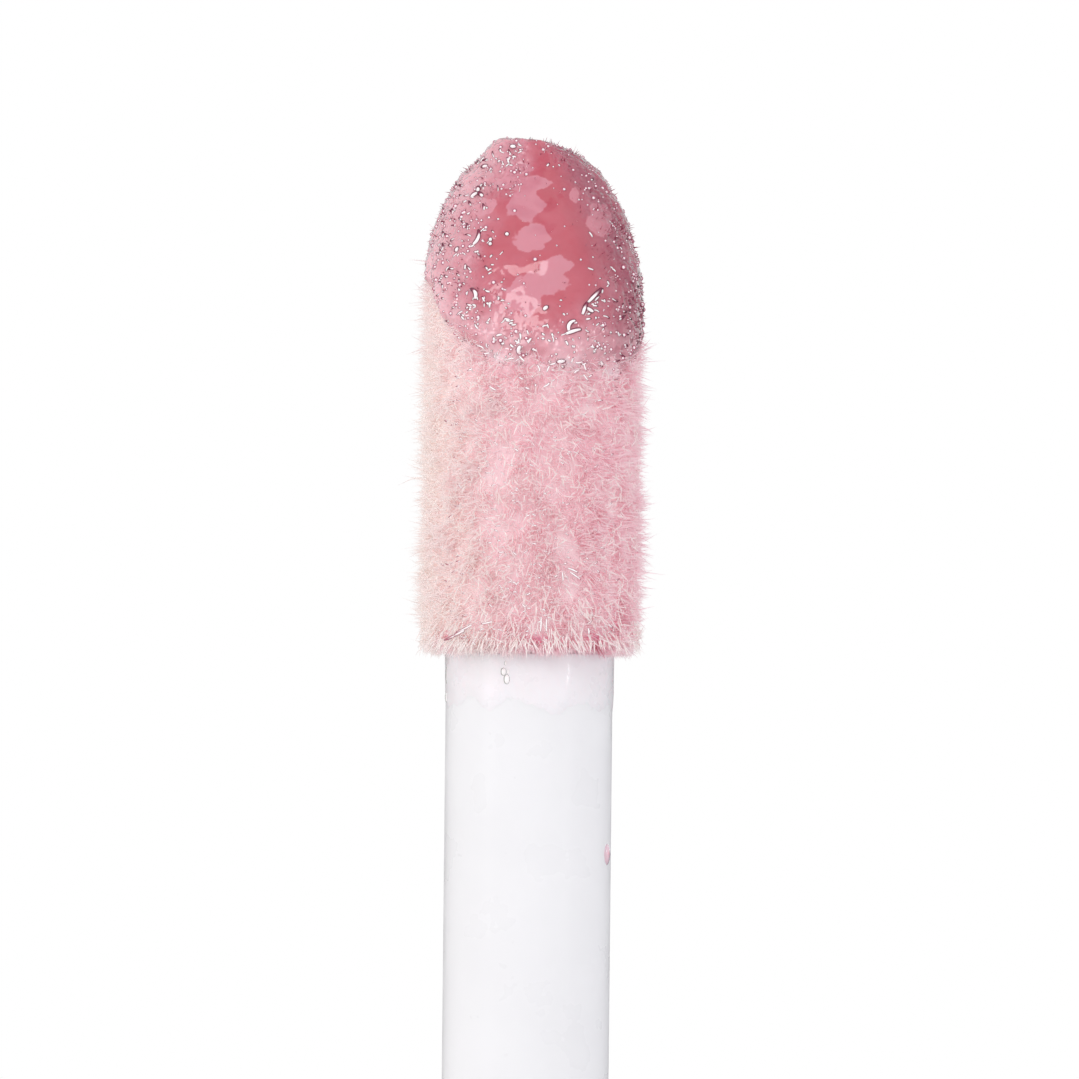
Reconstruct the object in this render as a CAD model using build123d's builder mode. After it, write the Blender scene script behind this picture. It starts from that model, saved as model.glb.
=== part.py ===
from build123d import *
import math
import os

# A lip gloss tube with its wand drawn out. Millimetres, +Z up the tube's axis, z = 0 on the
# face the bottle stands on. The names ending in _z are heights with the tube closed; the
# pieces of the wand stand `lift` higher, so taking `lift` off them screws the tube shut.
lift = 80.0

# Bottle: thick clear wall, round cavity, threaded neck.
body_radius = 9.0
body_height = 62.0
edge_round = 1.0
cavity_radius = 5.6
cavity_floor_z = 4.5
cavity_top_z = 59.0
cavity_round = 2.5
neck_bore_radius = 4.5
neck_bore_z = 60.8
neck_radius = 5.65
mouth_z = 75.0
fill_z = 49.0

# Shade label, in a shallow recess under the bottle.
recess_radius = 6.0
recess_depth = 0.3
label_radius = 5.8
label_thickness = 0.12

# Collar on the shoulder, with the seat and the snap bead that hold it.
collar_height = 2.2
collar_round = 0.3
seat_radius = 6.4
bead_radius = 6.6
bead_height = 0.7
bead_chamfer = 0.2

# Screw thread, two turns.
thread_pitch = 2.1
thread_turns = 2
thread_start_z = 68.2
thread_crest_radius = 6.5
thread_root_width = 1.24
thread_crest_width = 0.6
thread_bury = 0.1

# Wiper: a cup pressed into the neck, ending in a thin lip round the stem.
wiper_flange_thickness = 0.8
wiper_wall = 0.9
wiper_straight_z = 70.0
wiper_end_z = 65.0
wiper_lip_radius = 2.33
wiper_lip_wall = 0.35

# Cap: outer shell over a threaded liner that holds the stem.
cap_rim_z = 64.5
cap_length = 42.0
cap_wall = 1.1
crown_thickness = 2.0
crown_round = 0.9
rim_round = 0.3
liner_foot_z = 65.2
liner_bore_radius = 6.75
liner_thread_crest_radius = 5.85
liner_thread_root_width = 1.0
liner_thread_crest_width = 0.4
liner_thread_turns = 1.5
liner_skirt_top_z = 79.0
deck_thickness = 1.4
socket_height = 5.8
socket_radius = 4.6
rib_count = 8
rib_width = 1.0
rib_height = 0.1

# Seal washer, loose on the stem under the liner's deck.
washer_thickness = 1.0
washer_radius = 5.6
washer_bore_radius = 2.33

# Stem.
stem_radius = 2.25
stem_head_radius = 3.2
stem_head_height = 5.0
stem_bead_radius = 2.45
stem_bead_height = 0.4
stem_bead_gap = 0.2

# Applicator: slanted bullet core, flocked outside, coated with gloss at the end.
tip_z = 8.0
applicator_length = 13.9
face_turn = 3.0
flock_radius = 3.0
core_radius = 2.2
spigot_radius = 1.2
spigot_length = 6.0
film_thickness = 0.07
film_length = 5.9

# Outline of the applicator's slanted end, for the flocked outside and for the core in it.
# nose_bluntness is the power of the outline's curve: 2 would be half an ellipse.
flock_end_y = 1.0
nose_bluntness = 2.2
flock_nose = 5.0
flock_slant = 7.2
flock_heel = 1.6
core_end_y = 1.2
core_nose = 4.1
core_slant = 6.4
core_heel = 1.2
loft_sections = 16
first_section = 0.25

# Heights that follow from the ones above.
collar_top_z = body_height + collar_height
wiper_flange_z = mouth_z + wiper_flange_thickness
deck_z = wiper_flange_z + washer_thickness
deck_top_z = deck_z + deck_thickness
shoulder_z = tip_z + applicator_length
cap_inner_radius = body_radius - cap_wall
liner_radius = cap_inner_radius - rib_height
thread_height = thread_pitch * thread_turns
liner_thread_height = thread_pitch * liner_thread_turns

os.makedirs("parts", exist_ok=True)


def thread_ridge(root_radius, crest_radius, root_width, crest_width, start_z, height):
    """One helical ridge of trapezoid section, which points inwards if its crest is the inner side."""
    outwards = 1 if crest_radius > root_radius else -1
    depth = abs(crest_radius - root_radius)
    with BuildPart() as ridge:
        with BuildLine() as path:
            Helix(pitch=thread_pitch, height=height, radius=root_radius, center=(0, 0, start_z))
        with BuildSketch(Plane(origin=path.line @ 0, x_dir=(outwards, 0, 0), z_dir=path.line % 0)):
            with BuildLine():
                Polyline(
                    (-thread_bury, -root_width / 2),
                    (depth, -crest_width / 2),
                    (depth, crest_width / 2),
                    (-thread_bury, root_width / 2),
                    close=True,
                )
            make_face()
        sweep(path=path.line, is_frenet=True)
    return ridge.part


def doe_foot(radius, end_z, end_y, nose, slant, heel, top_z):
    """A round rod whose lower end is cut by a slanted, crowned face that looks towards -Y.

    nose is the length over which the width grows from nothing to the full diameter, slant the
    height of the slanted face, heel the height of the rounding behind the end, and end_y the
    end's distance behind the axis. The sections crowd together towards the end."""
    with BuildPart() as form:
        for index in range(loft_sections):
            share = (index + first_section) / (loft_sections - 1 + first_section)
            rise = slant * share**2
            cut_away = max(0, 1 - rise / nose) ** nose_bluntness
            half_width = radius * (1 - cut_away) ** (1 / nose_bluntness)
            back_y = end_y + (radius - end_y) * math.sqrt(1 - max(0, 1 - rise / heel) ** 2)
            front_y = end_y - (radius + end_y) * math.sin(math.pi / 2 * min(1, rise / slant))
            centre_y = (back_y + front_y) / 2
            with BuildSketch(Plane(origin=(0, centre_y, end_z + rise), z_dir=(0, 0, 1))):
                Ellipse(half_width, (back_y - front_y) / 2)
        loft()
        extrude(form.faces().sort_by(Axis.Z)[-1], amount=top_z - end_z - slant)
    return form.part.rotate(Axis.Z, -face_turn)


# --- Bottle group ------------------------------------------------------------------------

with BuildSketch(Plane.XZ) as cavity_section:
    with BuildLine():
        Polyline(
            (0, cavity_floor_z),
            (cavity_radius, cavity_floor_z),
            (cavity_radius, cavity_top_z),
            (neck_bore_radius, neck_bore_z),
            (neck_bore_radius, mouth_z),
            (0, mouth_z),
            close=True,
        )
    make_face()
    fillet(cavity_section.vertices().sort_by(Axis.X)[-2:].sort_by(Axis.Y)[0], cavity_round)

neck_thread = thread_ridge(
    neck_radius,
    thread_crest_radius,
    thread_root_width,
    thread_crest_width,
    thread_start_z,
    thread_height,
)

with BuildPart() as bottle:
    with BuildSketch():
        Circle(body_radius)
    extrude(amount=body_height)
    fillet(bottle.edges().filter_by(GeomType.CIRCLE), edge_round)
    with BuildSketch(Plane.XY.offset(body_height)):
        Circle(neck_radius)
    extrude(amount=mouth_z - body_height)
    with BuildSketch(Plane.XY.offset(body_height)):
        Circle(seat_radius)
    extrude(amount=collar_height)
    with BuildSketch(Plane.XY.offset(collar_top_z)):
        Circle(bead_radius)
    extrude(amount=bead_height)
    bead_edge = bottle.edges().filter_by(GeomType.CIRCLE).group_by(Axis.Z)[-2]
    chamfer(bead_edge.sort_by(SortBy.RADIUS)[-1], bead_chamfer)
    add(neck_thread)
    revolve(cavity_section.sketch, axis=Axis.Z, mode=Mode.SUBTRACT)
    with BuildSketch():
        Circle(recess_radius)
    extrude(amount=recess_depth, mode=Mode.SUBTRACT)

with BuildPart() as gloss_fill:
    revolve(cavity_section.sketch, axis=Axis.Z)
    split(bisect_by=Plane.XY.offset(fill_z), keep=Keep.BOTTOM)

with BuildPart() as base_label:
    with BuildSketch(Plane.XY.offset(recess_depth)):
        Circle(label_radius)
    extrude(amount=-label_thickness)

with BuildPart() as collar:
    with BuildSketch(Plane.XY.offset(body_height)):
        Circle(body_radius)
    extrude(amount=collar_height)
    fillet(collar.edges().filter_by(GeomType.CIRCLE), collar_round)
    with BuildSketch(Plane.XY.offset(body_height)):
        Circle(seat_radius)
    extrude(amount=collar_height, mode=Mode.SUBTRACT)

with BuildPart() as wiper:
    with BuildSketch(Plane.XZ):
        with BuildLine():
            Polyline(
                (neck_radius, mouth_z),
                (neck_radius, wiper_flange_z),
                (neck_bore_radius - wiper_wall, wiper_flange_z),
                (neck_bore_radius - wiper_wall, wiper_straight_z),
                (wiper_lip_radius, wiper_end_z),
                (wiper_lip_radius + wiper_lip_wall, wiper_end_z),
                (neck_bore_radius, wiper_straight_z - wiper_wall),
                (neck_bore_radius, mouth_z),
                close=True,
            )
        make_face()
    revolve(axis=Axis.Z)

# --- Wand group, standing `lift` above its closed place ----------------------------------

with BuildPart() as seal_washer:
    with BuildSketch(Plane.XY.offset(lift + wiper_flange_z)):
        Circle(washer_radius)
        Circle(washer_bore_radius, mode=Mode.SUBTRACT)
    extrude(amount=washer_thickness)

with BuildPart() as cap_shell:
    with BuildSketch(Plane.XY.offset(lift + cap_rim_z)):
        Circle(body_radius)
    extrude(amount=cap_length)
    fillet(cap_shell.edges().filter_by(GeomType.CIRCLE).sort_by(Axis.Z)[-1], crown_round)
    with BuildSketch(Plane.XY.offset(lift + cap_rim_z)):
        Circle(cap_inner_radius)
    extrude(amount=cap_length - crown_thickness, mode=Mode.SUBTRACT)
    fillet(cap_shell.faces().sort_by(Axis.Z)[0].edges(), rim_round)

liner_thread = thread_ridge(
    liner_bore_radius,
    liner_thread_crest_radius,
    liner_thread_root_width,
    liner_thread_crest_width,
    lift + thread_start_z + thread_pitch / 2,
    liner_thread_height,
)

with BuildPart() as cap_liner:
    with BuildSketch(Plane.XY.offset(lift + liner_foot_z)):
        Circle(liner_radius)
        with PolarLocations(liner_radius, rib_count):
            Rectangle(2 * rib_height, rib_width)
        Circle(cap_inner_radius, mode=Mode.INTERSECT)
    extrude(amount=liner_skirt_top_z - liner_foot_z)
    with BuildSketch(Plane.XY.offset(lift + liner_foot_z)):
        Circle(liner_bore_radius)
    extrude(amount=deck_z - liner_foot_z, mode=Mode.SUBTRACT)
    add(liner_thread)
    with BuildSketch(Plane.XY.offset(lift + deck_top_z)):
        Circle(liner_bore_radius)
    extrude(amount=liner_skirt_top_z - deck_top_z, mode=Mode.SUBTRACT)
    with BuildSketch(Plane.XY.offset(lift + deck_top_z)):
        Circle(socket_radius)
        Circle(stem_head_radius, mode=Mode.SUBTRACT)
    extrude(amount=socket_height)
    with BuildSketch(Plane.XY.offset(lift + deck_z)):
        Circle(stem_radius)
    extrude(amount=deck_thickness, mode=Mode.SUBTRACT)

with BuildPart() as stem:
    with BuildSketch(Plane.XY.offset(lift + shoulder_z)):
        Circle(stem_radius)
    extrude(amount=deck_top_z - shoulder_z)
    with BuildSketch(Plane.XY.offset(lift + deck_top_z)):
        Circle(stem_head_radius)
    extrude(amount=stem_head_height)
    with BuildSketch(Plane.XY.offset(lift + wiper_flange_z - stem_bead_gap - stem_bead_height)):
        Circle(stem_bead_radius)
    extrude(amount=stem_bead_height)
    with BuildSketch(Plane.XY.offset(lift + shoulder_z)):
        Circle(spigot_radius)
    extrude(amount=spigot_length, mode=Mode.SUBTRACT)

film_form = doe_foot(
    radius=flock_radius + film_thickness,
    end_z=lift + tip_z,
    end_y=flock_end_y,
    nose=flock_nose,
    slant=flock_slant,
    heel=flock_heel,
    top_z=lift + shoulder_z,
)
flock_form = doe_foot(
    radius=flock_radius,
    end_z=lift + tip_z + film_thickness,
    end_y=flock_end_y,
    nose=flock_nose,
    slant=flock_slant,
    heel=flock_heel,
    top_z=lift + shoulder_z,
)
core_form = doe_foot(
    radius=core_radius,
    end_z=lift + tip_z + film_thickness + flock_radius - core_radius,
    end_y=core_end_y,
    nose=core_nose,
    slant=core_slant,
    heel=core_heel,
    top_z=lift + shoulder_z,
)

with BuildPart() as applicator_core:
    add(core_form)
    with BuildSketch(Plane.XY.offset(lift + shoulder_z)):
        Circle(spigot_radius)
    extrude(amount=spigot_length)

with BuildPart() as flock:
    add(flock_form)
    add(core_form, mode=Mode.SUBTRACT)

with BuildPart() as gloss_coat:
    add(film_form)
    add(flock_form, mode=Mode.SUBTRACT)
    split(bisect_by=Plane.XY.offset(lift + tip_z + film_length), keep=Keep.BOTTOM)

# --- Labels and files --------------------------------------------------------------------

pieces = {
    "bottle": bottle,
    "gloss_fill": gloss_fill,
    "base_label": base_label,
    "collar": collar,
    "wiper": wiper,
    "seal_washer": seal_washer,
    "cap_shell": cap_shell,
    "cap_liner": cap_liner,
    "stem": stem,
    "applicator_core": applicator_core,
    "flock": flock,
    "gloss_coat": gloss_coat,
}
for name, piece in pieces.items():
    piece.part.label = name
    export_step(piece.part, f"parts/{name}.step")
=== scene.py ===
import math

import bmesh
import bpy
import numpy as np
from mathutils import Euler, Matrix, Vector, noise
from mathutils.bvhtree import BVHTree


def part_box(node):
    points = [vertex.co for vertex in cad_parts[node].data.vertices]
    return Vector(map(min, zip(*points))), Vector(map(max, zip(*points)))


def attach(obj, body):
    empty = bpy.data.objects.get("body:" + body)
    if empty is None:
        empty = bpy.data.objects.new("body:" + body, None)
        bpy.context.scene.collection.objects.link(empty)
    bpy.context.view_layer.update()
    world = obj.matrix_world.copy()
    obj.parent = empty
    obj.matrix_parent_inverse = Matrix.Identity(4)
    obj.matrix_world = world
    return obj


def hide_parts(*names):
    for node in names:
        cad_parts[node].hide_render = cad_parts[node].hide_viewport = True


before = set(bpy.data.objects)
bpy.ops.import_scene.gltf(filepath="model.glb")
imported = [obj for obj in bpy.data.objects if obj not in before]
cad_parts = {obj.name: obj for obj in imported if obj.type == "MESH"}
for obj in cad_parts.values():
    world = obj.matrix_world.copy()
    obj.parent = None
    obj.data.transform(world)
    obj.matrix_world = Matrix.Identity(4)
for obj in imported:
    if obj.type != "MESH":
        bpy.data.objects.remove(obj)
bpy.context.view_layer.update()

# A lip gloss tube with its wand drawn out: clear bottle, collar and wiper below, and above them
# the cap, the stem and the flocked applicator, wet with gloss at its end. The applicator points
# down at the bottle's mouth, so the camera is rolled half a turn to show it with the tip up.
# Everything is in metres; MM turns millimetres into them.

MM = 0.001
RNG = np.random.default_rng(20)
BAKE_UV = "OFBake"

FLOCK_LOW, FLOCK_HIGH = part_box("flock")
TIP_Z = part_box("gloss_coat")[0].z
SHOULDER_Z = FLOCK_HIGH.z
FLOCK_LENGTH = SHOULDER_Z - TIP_Z
STEM_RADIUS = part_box("applicator_core")[1].x
FLOCK_RADIUS_MM = 3
UP = np.array([0, 0, 1.0])
HAIR_GAP = 0.02 * MM     # keeps a face from lying in the bottle's wall
FAR = 0.05               # a place outside every piece, where rays start


# --- Small tools -----------------------------------------------------


def srgb(red, green, blue):
    """A display colour, 0 to 255, as the linear colour a shader wants."""
    def linear(c):
        c = c / 255
        return c / 12.92 if c <= 0.04045 else ((c + 0.055) / 1.055) ** 2.4
    return (linear(red), linear(green), linear(blue), 1.0)


def smooth(low, high, x):
    """0 below low, 1 above high, an S-curve between."""
    t = np.clip((np.asarray(x, float) - low) / (high - low), 0, 1)
    return t * t * (3 - 2 * t)


def waves(points, size, octaves=3, seed=0.0):
    """Fractal noise, about -1 to 1, at points in metres, with features about `size` across."""
    shift = Vector((seed * 7.1, seed * 3.7, seed * 5.3))
    flat = np.asarray(points, float).reshape(-1, 3) / size
    values = [noise.fractal(Vector(p) + shift, 0.9, 2.1, octaves) for p in flat]
    return np.array(values).reshape(np.asarray(points).shape[:-1])


def unit(v):
    return v / np.maximum(np.linalg.norm(v, axis=-1, keepdims=True), 1e-12)


def turns(count):
    """Evenly spaced angles round a full turn."""
    return np.linspace(0, 2 * math.pi, count, endpoint=False)


def round_axis(angle):
    """Unit vectors away from the axis."""
    return np.stack([np.cos(angle), np.sin(angle), 0 * angle], -1)


def across_of(v):
    """Two unit vectors square to each v."""
    helper = np.where(np.abs(v[:, 2:3]) < 0.8, [[0, 0, 1.0]], [[1.0, 0, 0]])
    across = unit(np.cross(v, helper))
    return across, np.cross(v, across)


def new_object(name, vertices, faces, material, shade_smooth=True):
    """A mesh object from arrays; faces is a list of face arrays, one for each face size."""
    mesh = bpy.data.meshes.new(name)
    sizes = np.concatenate([np.full(len(f), f.shape[1]) for f in faces])
    loops = np.concatenate([f.ravel() for f in faces])
    mesh.vertices.add(len(vertices))
    mesh.vertices.foreach_set("co", np.asarray(vertices, np.float32).ravel())
    mesh.loops.add(len(loops))
    mesh.loops.foreach_set("vertex_index", loops.astype(np.int32))
    mesh.polygons.add(len(sizes))
    mesh.polygons.foreach_set("loop_start", np.r_[0, np.cumsum(sizes)[:-1]].astype(np.int32))
    mesh.polygons.foreach_set("use_smooth", np.full(len(sizes), shade_smooth))
    mesh.update(calc_edges=True)
    mesh.validate()
    mesh.materials.append(material)
    ob = bpy.data.objects.new(name, mesh)
    bpy.context.scene.collection.objects.link(ob)
    return ob


def store(ob, name, values, low_pole=0, high_pole=0):
    """Keeps one number for each vertex of a closed skin, for the materials to read."""
    layer = ob.data.attributes.new(name, "FLOAT", "POINT")
    layer.data.foreach_set("value", np.r_[values.ravel(), low_pole, high_pole].astype(np.float32))


def store_map(ob, u, v):
    """The piece's own texture map, from one u and one v for each vertex."""
    order = np.zeros(len(ob.data.loops), np.int32)
    ob.data.loops.foreach_get("vertex_index", order)
    layer = ob.data.uv_layers.new(name=BAKE_UV)
    layer.data.foreach_set("uv", np.stack([u[order], v[order]], -1).astype(np.float32).ravel())


def finish_piece(ob, body, slot, *nodes):
    """Puts a piece on its body and hides the CAD nodes it stands for; the slot is not used."""
    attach(ob, body)
    if nodes:
        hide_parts(*nodes)
    return ob


def closed_grid(rings, low_pole=None, high_pole=None):
    """Vertices and faces of a closed skin over rings of points, with a pole at each end."""
    count, around = rings.shape[:2]
    low_pole = rings[0].mean(0) if low_pole is None else low_pole
    high_pole = rings[-1].mean(0) if high_pole is None else high_pole
    vertices = np.vstack([rings.reshape(-1, 3), low_pole, high_pole])
    i = np.arange(count - 1)[:, None] * around
    j = np.arange(around)[None, :]
    k = (j + 1) % around
    quads = np.stack([i + j, i + k, i + around + k, i + around + j], -1).reshape(-1, 4)
    j, k = j[0], k[0]
    low, high, last = count * around, count * around + 1, (count - 1) * around
    low_fan = np.stack([k, j, np.full(around, low)], -1)
    high_fan = np.stack([last + j, last + k, np.full(around, high)], -1)
    return vertices, [quads, np.vstack([low_fan, high_fan])]


def surface_tree(mesh):
    """A mesh's triangles, ready for rays."""
    mesh.calc_loop_triangles()
    triangles = [tuple(t.vertices) for t in mesh.loop_triangles]
    return BVHTree.FromPolygons([v.co for v in mesh.vertices], triangles)


# --- The applicator's outside, read off the CAD ----------------------


def end_side():
    """The direction, across the axis, in which the applicator's end is set back."""
    vertices = [v.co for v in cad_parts["flock"].data.vertices]
    end = min(vertices, key=lambda v: v.z)
    return Vector((end.x, end.y, 0)).normalized()


BACK = end_side()
SIDE = Vector((0, 0, 1)).cross(BACK)


def applicator_rings(rises, around):
    """Rings of points on the flock's outside, at heights above the tip, as an array."""
    tree = surface_tree(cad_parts["flock"].data)
    rings = np.zeros((len(rises), around, 3))
    for i, rise in enumerate(rises):
        level = Vector((0, 0, min(FLOCK_LOW.z + rise, SHOULDER_Z - 0.01 * MM)))
        back = tree.ray_cast(level + BACK * FAR, -BACK)[0]
        front = tree.ray_cast(level - BACK * FAR, BACK)[0]
        middle = (back + front) / 2
        for j in range(around):
            angle = 2 * math.pi * j / around
            out = BACK * math.cos(angle) + SIDE * math.sin(angle)
            rings[i, j] = tree.ray_cast(middle + out * FAR, -out)[0]
    return rings


def ring_normals(rings):
    """Outward normals of a skin of rings."""
    along = np.gradient(rings, axis=0)
    across = np.roll(rings, -1, 1) - np.roll(rings, 1, 1)
    return unit(np.cross(across, along))


def rises_for(count, length, power):
    """Ring heights that crowd towards the tip."""
    first = 0.3
    return length * ((np.arange(count) + first) / (count - 1 + first)) ** power


def facing(points):
    """The angle round the applicator: 0 faces the camera, positive is the picture's right.

    Along the slanted face the middle it is taken from moves back towards the tip."""
    face_height = 7.2 * MM
    set_back = 1.6 * MM
    slant = np.clip(1 - (points[..., 2] - TIP_Z) / face_height, 0, 1)
    return np.arctan2(-points[..., 0], set_back * slant - points[..., 1])


def wet_reach(angle):
    """How far above the tip the gloss reaches, by the angle round the axis."""
    front = 5.0 * MM * np.cos(angle / 2) ** 2
    right = 1.9 * MM * np.maximum(np.sin(angle), 0) ** 2
    left = -0.10 * MM * np.maximum(-np.sin(angle), 0) ** 2
    return front + right + left + 1.1 * MM


def wetness(points, softness=0.5 * MM):
    """1 where gloss lies on the flock, 0 where the flock is dry."""
    reach = wet_reach(facing(points)) + 0.35 * MM * waves(points, 0.9 * MM, 3, 1)
    return 1 - smooth(-softness, softness, points[..., 2] - TIP_Z - reach)


# --- Node materials --------------------------------------------------


class Nodes:
    """A short way to write a material's node tree."""

    def __init__(self, name):
        self.material = bpy.data.materials.new(name)
        self.material.use_nodes = True
        self.tree = self.material.node_tree
        self.tree.nodes.clear()
        self.output = self.add("ShaderNodeOutputMaterial")
        self.shader = self.add("ShaderNodeBsdfPrincipled")
        self.link(self.shader.outputs[0], self.output.inputs["Surface"])
        where = self.add("ShaderNodeTexCoord")
        scale = self.add("ShaderNodeVectorMath", operation="SCALE")
        scale.inputs["Scale"].default_value = 1 / MM
        self.link(where.outputs["Object"], scale.inputs[0])
        self.place = scale.outputs[0]

    def add(self, kind, **settings):
        node = self.tree.nodes.new(kind)
        for key, value in settings.items():
            setattr(node, key, value)
        return node

    def link(self, source, target):
        self.tree.links.new(source, target)

    def set(self, **values):
        for key, value in values.items():
            self.shader.inputs[key.replace("_", " ")].default_value = value

    def stretch(self, x, y, z):
        """Object coordinates in millimetres, scaled along each axis."""
        mapping = self.add("ShaderNodeMapping")
        mapping.inputs["Scale"].default_value = (x, y, z)
        self.link(self.place, mapping.inputs["Vector"])
        return mapping.outputs[0]

    def noise(self, size, detail=3.0, vector=None):
        """Noise from 0 to 1 with features about `size` millimetres across."""
        node = self.add("ShaderNodeTexNoise")
        node.inputs["Scale"].default_value = 1 / size
        node.inputs["Detail"].default_value = detail
        self.link(vector or self.place, node.inputs["Vector"])
        return node.outputs["Fac"]

    def span(self, value, low, high, start=0.35, end=0.65):
        """value mapped from start..end to low..high."""
        node = self.add("ShaderNodeMapRange")
        node.inputs["From Min"].default_value = start
        node.inputs["From Max"].default_value = end
        node.inputs["To Min"].default_value = low
        node.inputs["To Max"].default_value = high
        self.link(value, node.inputs["Value"])
        return node.outputs[0]

    def ramp(self, value, *stops):
        """A colour ramp through (place, colour) stops."""
        node = self.add("ShaderNodeValToRGB")
        while len(node.color_ramp.elements) < len(stops):
            node.color_ramp.elements.new(0.5)
        for element, (at, colour) in zip(node.color_ramp.elements, stops):
            element.position = at
            element.color = colour
        self.link(value, node.inputs["Fac"])
        return node.outputs["Color"]

    def blend(self, share, first, second):
        """A mix of two colours; each may be a value or a socket."""
        node = self.add("ShaderNodeMix", data_type="RGBA")
        sockets = (node.inputs[0], node.inputs[6], node.inputs[7])
        for socket, value in zip(sockets, (share, first, second)):
            if isinstance(value, bpy.types.NodeSocket):
                self.link(value, socket)
            else:
                socket.default_value = value
        return node.outputs[2]

    def stored(self, name):
        return self.add("ShaderNodeAttribute", attribute_name=name).outputs["Fac"]

    def facing(self, start, end):
        """0 where the surface looks at the viewer, 1 at the outline."""
        layer = self.add("ShaderNodeLayerWeight")
        layer.inputs["Blend"].default_value = 0.5
        return self.span(layer.outputs["Facing"], 0, 1, start, end)

    def colour(self, socket):
        self.link(socket, self.shader.inputs["Base Color"])

    def rough(self, socket):
        self.link(socket, self.shader.inputs["Roughness"])

    def bump(self, height, depth_mm):
        node = self.add("ShaderNodeBump")
        node.inputs["Strength"].default_value = 1.0
        node.inputs["Distance"].default_value = depth_mm * MM
        self.link(height, node.inputs["Height"])
        self.link(node.outputs[0], self.shader.inputs["Normal"])

    def wet(self, scatter, depth_mm, coat, coat_roughness):
        """Light scattered inside, red the deepest, under a clear wet coat."""
        self.set(
            Subsurface_Weight=scatter, Subsurface_Radius=(1.0, 0.45, 0.5),
            Subsurface_Scale=depth_mm * MM, Coat_Weight=coat,
            Coat_Roughness=coat_roughness, IOR=1.47,
        )

    def mix_in(self, other):
        """Puts a second shader on the surface; returns the socket for its share."""
        both = self.add("ShaderNodeMixShader")
        self.link(self.shader.outputs[0], both.inputs[1])
        self.link(other.outputs[0], both.inputs[2])
        self.link(both.outputs[0], self.output.inputs["Surface"])
        return both.inputs[0]


def moulded(name, colour, shade, roughness, grain=0.6, **settings):
    """Moulded plastic: two close shades, an uneven gloss and a faint flow ripple."""
    m = Nodes(name)
    m.colour(m.ramp(m.noise(4.0), (0.3, colour), (0.7, shade)))
    m.rough(m.span(m.noise(1.5), roughness * 0.8, roughness * 1.25))
    m.bump(m.noise(grain), 0.004)
    m.set(**settings)
    return m.material


def clear_plastic():
    m = Nodes("clear_plastic")
    m.colour(m.ramp(m.noise(9.0), (0.3, srgb(255, 255, 255)), (0.7, srgb(250, 251, 253))))
    m.rough(m.span(m.noise(2.5), 0.01, 0.04))
    m.bump(m.noise(5.0, 1.0), 0.01)
    m.set(Transmission_Weight=1.0, IOR=1.55)
    return m.material


def collar_metal():
    """Metallised plastic with faint turning lines round it."""
    m = Nodes("collar_metal")
    lines = m.noise(1.0, 2.0, m.stretch(0.05, 0.05, 14))
    m.colour(m.ramp(m.noise(3.0), (0.3, srgb(236, 190, 178)), (0.7, srgb(246, 208, 196))))
    m.rough(m.span(lines, 0.14, 0.26))
    m.bump(lines, 0.004)
    m.set(Metallic=1.0)
    return m.material


def foam():
    m = Nodes("washer_foam")
    m.colour(m.ramp(m.noise(0.25), (0.35, srgb(214, 213, 210)), (0.65, srgb(242, 242, 240))))
    m.rough(m.span(m.noise(0.4), 0.6, 0.85))
    m.bump(m.noise(0.12), 0.03)
    return m.material


def label():
    """A blank satin sticker in the gloss's shade, with a pale rim."""
    m = Nodes("label_film")
    away = m.add("ShaderNodeVectorMath", operation="LENGTH")
    m.link(m.stretch(1, 1, 0), away.inputs[0])
    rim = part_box("base_label")[1].x / MM
    disc = m.span(away.outputs["Value"], 0, 1, rim - 0.9, rim - 0.8)
    ink = m.ramp(m.noise(0.5), (0.3, srgb(214, 132, 146)), (0.7, srgb(224, 146, 158)))
    m.colour(m.blend(disc, ink, srgb(246, 240, 240)))
    m.rough(m.span(m.noise(0.8), 0.35, 0.5))
    m.bump(m.noise(0.2), 0.005)
    return m.material


def stem_plastic():
    """White moulded plastic that lets a little light in."""
    m = Nodes("stem_plastic")
    m.colour(m.ramp(m.noise(2.5), (0.3, srgb(239, 239, 242)), (0.7, srgb(242, 242, 245))))
    m.rough(m.span(m.noise(1.2), 0.26, 0.36))
    m.bump(m.noise(2.4, 1.0), 0.002)
    m.set(
        Subsurface_Weight=0.12, Subsurface_Radius=(1.0, 0.95, 1.0),
        Subsurface_Scale=0.5 * MM, Specular_IOR_Level=0.35,
    )
    return m.material


def gloss(name, deep, pale, scatter, roughness, coat=1.0):
    """Sheer wet gel in two shades that drift into each other."""
    m = Nodes(name)
    m.colour(m.ramp(m.noise(0.9, 4.0), (0.32, deep), (0.68, pale)))
    m.rough(m.span(m.noise(0.5), roughness * 0.7, roughness * 1.4))
    m.wet(scatter, 0.5, coat, 0.03)
    return m.material


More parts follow.
